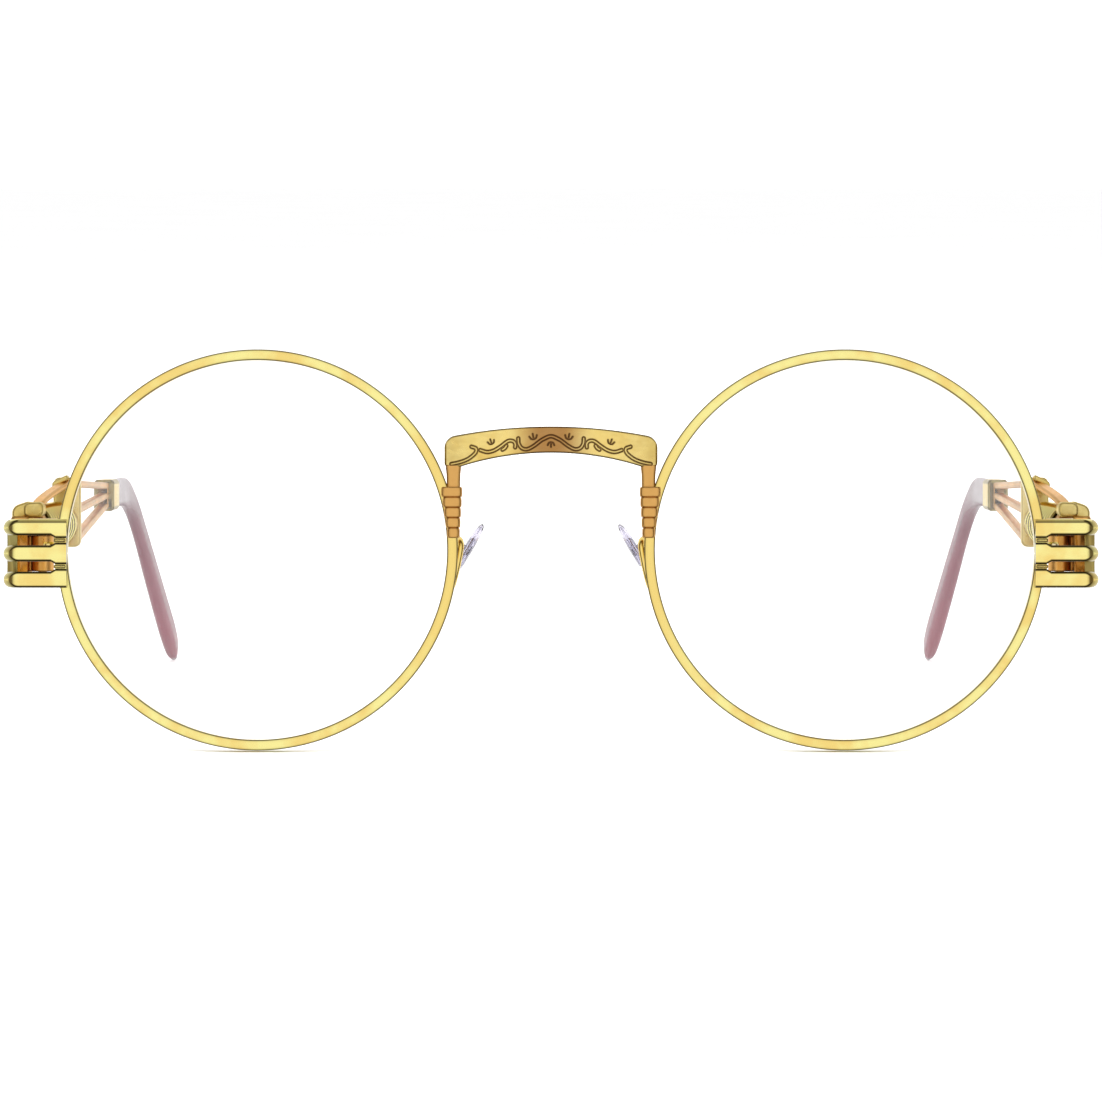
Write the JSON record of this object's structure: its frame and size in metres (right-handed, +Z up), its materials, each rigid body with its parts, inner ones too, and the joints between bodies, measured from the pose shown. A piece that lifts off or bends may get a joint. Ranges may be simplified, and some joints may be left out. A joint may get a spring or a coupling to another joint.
{
  "type": "eyeglasses frame",
  "caption": "Round gold metal eyeglasses frame with an engraved bridge plate, slotted end pieces, coil-spring folding temples, clear nose pads and rose acetate tips.",
  "frame": {"origin": "on the surface the frame stands on, under the middle of its bounding box", "axes": "+X to the wearer's left across the front, +Y back along the temples towards the ears, +Z up; the front leans back about 4.4 degrees as it stands on its rims and tips"},
  "size_m": [0.1436, 0.1252, 0.0521],
  "materials": {
    "polished_gold": "polished gold plate on nickel silver",
    "satin_gold": "satin gold plate on nickel silver",
    "screw_steel": "gold-washed stainless screws",
    "demo_lens": "clear demo lens, uncoated",
    "clear_silicone": "clear soft silicone",
    "rose_acetate": "polished translucent rose acetate"
  },
  "bodies": {
    "front": {"bridge_plate": "polished_gold", "left_bridge_leg": "satin_gold", "left_end_piece": "polished_gold", "left_front_hinge": "polished_gold", "left_hinge_screw": "screw_steel", "left_lens": "demo_lens", "left_pad_arm": "polished_gold", "left_pad_screw": "screw_steel", "left_ribbed_sleeve": "satin_gold", "left_rim": "polished_gold", "left_rim_lock_lower": "polished_gold", "left_rim_lock_upper": "polished_gold", "left_rim_screw": "screw_steel", "right_bridge_leg": "satin_gold", "right_end_piece": "polished_gold", "right_front_hinge": "polished_gold", "right_hinge_screw": "screw_steel", "right_lens": "demo_lens", "right_pad_arm": "polished_gold", "right_pad_screw": "screw_steel", "right_ribbed_sleeve": "satin_gold", "right_rim": "polished_gold", "right_rim_lock_lower": "polished_gold", "right_rim_lock_upper": "polished_gold", "right_rim_screw": "screw_steel"},
    "left_temple": {"left_coil_spring": "polished_gold", "left_ferrule": "polished_gold", "left_spring_plate": "satin_gold", "left_spring_rod": "polished_gold", "left_spring_strut": "satin_gold", "left_temple_fork": "satin_gold", "left_temple_hinge": "satin_gold", "left_temple_tip": "rose_acetate"},
    "left_pad": {"left_nose_pad": "clear_silicone", "left_pad_mount": "polished_gold"},
    "right_temple": {"right_coil_spring": "polished_gold", "right_ferrule": "polished_gold", "right_spring_plate": "satin_gold", "right_spring_rod": "polished_gold", "right_spring_strut": "satin_gold", "right_temple_fork": "satin_gold", "right_temple_hinge": "satin_gold", "right_temple_tip": "rose_acetate"},
    "right_pad": {"right_nose_pad": "clear_silicone", "right_pad_mount": "polished_gold"}
  },
  "joints": [
    {"name": "right_temple_fold", "type": "hinge", "parent": "front", "child": "right_temple", "pos_m": [-0.067, -0.05019, 0.02486], "axis": [0, -0.0762, -0.9971], "range_deg": [0, 78]},
    {"name": "left_temple_fold", "type": "hinge", "parent": "front", "child": "left_temple", "pos_m": [0.067, -0.05019, 0.02486], "axis": [0, 0.0762, 0.9971], "range_deg": [0, 87]},
    {"name": "right_pad_rock", "type": "hinge", "parent": "front", "child": "right_pad", "pos_m": [-0.01235, -0.0534, 0.02614], "axis": [-0.1071, 0.9617, -0.2522], "range_deg": [-8, 8]},
    {"name": "left_pad_rock", "type": "hinge", "parent": "front", "child": "left_pad", "pos_m": [0.01235, -0.0534, 0.02614], "axis": [0.1071, 0.9617, -0.2522], "range_deg": [-8, 8]}
  ]
}
